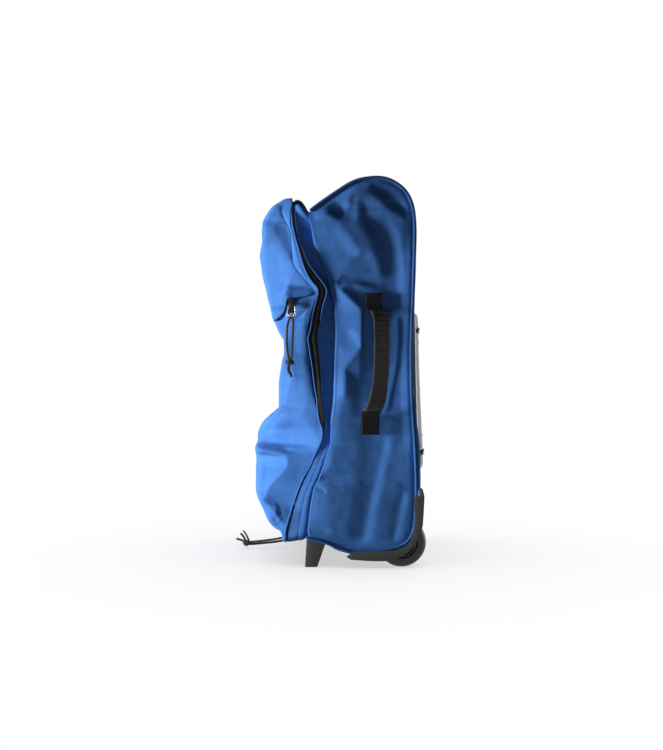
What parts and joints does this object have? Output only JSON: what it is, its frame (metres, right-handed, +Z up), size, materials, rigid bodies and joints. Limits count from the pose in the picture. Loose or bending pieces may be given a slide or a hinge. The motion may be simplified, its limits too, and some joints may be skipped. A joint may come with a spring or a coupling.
{
  "type": "wheeled travel bag",
  "caption": "Upright soft-sided travel bag on wheels: telescopic pull handle, zipped swing-open lid with front pockets, webbing carry handles, corner guards and front feet.",
  "frame": {"origin": "on the floor, under the middle of the bag's box measured without the zip cords", "axes": "+Z up, -Y to the front (lid and pockets), +Y to the back (wheels and pull handle), +X to the side with the carry handle"},
  "size_m": [0.3633, 0.2833, 0.5496],
  "materials": {
    "shell_fabric": "blue woven polyester with a light sheen",
    "lining": "thin black woven lining",
    "webbing": "ribbed black nylon webbing",
    "board": "matte polyethylene sheet",
    "tyre": "satin black urethane",
    "tube": "satin anodised",
    "steel": "satin",
    "zip_tape": "black woven tape with a nylon coil",
    "zip_metal": "black painted die-cast zip hardware",
    "cord": "black braided cord",
    "black_plastic": "fine-textured injection-moulded plastic"
  },
  "bodies": {
    "bag": {"side_panel_left": "shell_fabric", "side_panel_right": "shell_fabric", "top_panel": "shell_fabric", "back_panel": "shell_fabric", "bottom_panel": "shell_fabric", "zip_gusset": "shell_fabric", "hinge_strip": "shell_fabric", "piping_left": "shell_fabric", "piping_right": "shell_fabric", "base_board": "board", "back_board": "board", "lining_panel": "lining", "back_plate": "black_plastic", "plate_screw_low_left": "steel", "plate_screw_low_right": "steel", "plate_screw_high_left": "steel", "plate_screw_high_right": "steel", "corner_guard_left": "black_plastic", "corner_guard_right": "black_plastic", "wheel_housing_left": "black_plastic", "wheel_housing_right": "black_plastic", "axle_left": "steel", "axle_right": "steel", "foot_left": "black_plastic", "foot_right": "black_plastic", "handle_bezel": "black_plastic", "tube_bracket": "black_plastic", "outer_tube_left": "tube", "outer_tube_right": "tube", "main_zip_tape_body": "zip_tape", "side_handle_patch_top": "webbing", "side_handle_patch_bottom": "webbing"},
    "wheel_left": {"tyre_left": "tyre", "wheel_hub_left": "black_plastic"},
    "wheel_right": {"tyre_right": "tyre", "wheel_hub_right": "black_plastic"},
    "handle_stage_1": {"middle_tube_left": "tube", "middle_tube_right": "tube"},
    "handle_stage_2": {"inner_tube_left": "tube", "inner_tube_right": "tube", "grip": "black_plastic"},
    "release_button": {"grip_button": "black_plastic", "lock_bar": "steel"},
    "lid": {"lid_panel": "shell_fabric", "lid_gusset": "shell_fabric", "upper_pocket": "shell_fabric", "lower_pocket": "shell_fabric", "pocket_zip_tape": "zip_tape", "main_zip_tape_lid": "zip_tape"},
    "main_slider": {"main_zip_slider": "zip_metal"},
    "main_pull": {"main_zip_pull": "zip_metal", "main_zip_cord": "cord", "main_zip_knot": "cord"},
    "pocket_slider": {"pocket_zip_slider": "zip_metal"},
    "pocket_pull": {"pocket_zip_pull": "black_plastic", "pocket_zip_cord": "cord", "pocket_zip_knot": "cord"},
    "side_handle": {"side_handle_strap": "webbing"},
    "top_handle": {"top_handle_strap": "webbing"}
  },
  "joints": [
    {"name": "wheel_left_spin", "type": "hinge", "parent": "bag", "child": "wheel_left", "pos_m": [-0.15785, 0.0831, 0.035], "axis": [1, 0, 0], "continuous": true},
    {"name": "wheel_right_spin", "type": "hinge", "parent": "bag", "child": "wheel_right", "pos_m": [0.14055, 0.0831, 0.035], "axis": [1, 0, 0], "continuous": true},
    {"name": "handle_stage_1_slide", "type": "slide", "parent": "bag", "child": "handle_stage_1", "axis": [0, 0, 1], "range_m": [0, 0.24]},
    {"name": "handle_stage_2_slide", "type": "slide", "parent": "handle_stage_1", "child": "handle_stage_2", "axis": [0, 0, 1], "range_m": [0, 0.24]},
    {"name": "release_button_press", "type": "slide", "parent": "handle_stage_2", "child": "release_button", "axis": [0, 0, -1], "range_m": [0, 0.004], "stiffness_N_per_m": 400, "springref_m": -0.004},
    {"name": "lid_swing", "type": "hinge", "parent": "bag", "child": "lid", "pos_m": [-0.18015, -0.0287, 0.27], "axis": [0, 0, -1], "range_deg": [0, 120]},
    {"name": "main_slider_travel", "type": "slide", "parent": "bag", "child": "main_slider", "axis": [1, 0, 0], "range_m": [0, 0.12]},
    {"name": "main_pull_lift", "type": "hinge", "parent": "main_slider", "child": "main_pull", "pos_m": [-0.03865, -0.0732, 0.035], "axis": [-1, 0, 0], "range_deg": [0, 45]},
    {"name": "pocket_slider_travel", "type": "slide", "parent": "lid", "child": "pocket_slider", "axis": [0, -1, 0], "range_m": [0, 0.006]},
    {"name": "pocket_pull_lift", "type": "hinge", "parent": "pocket_slider", "child": "pocket_pull", "pos_m": [0.16395, -0.0707, 0.371], "axis": [0, -1, 0], "range_deg": [0, 80]},
    {"name": "side_handle_swing", "type": "hinge", "parent": "bag", "child": "side_handle", "pos_m": [0.16735, 0.0398, 0.289], "axis": [0, 0, 1], "range_deg": [-25, 25]},
    {"name": "top_handle_lift", "type": "slide", "parent": "bag", "child": "top_handle", "axis": [0, 0, 1], "range_m": [0, 0.02]}
  ]
}
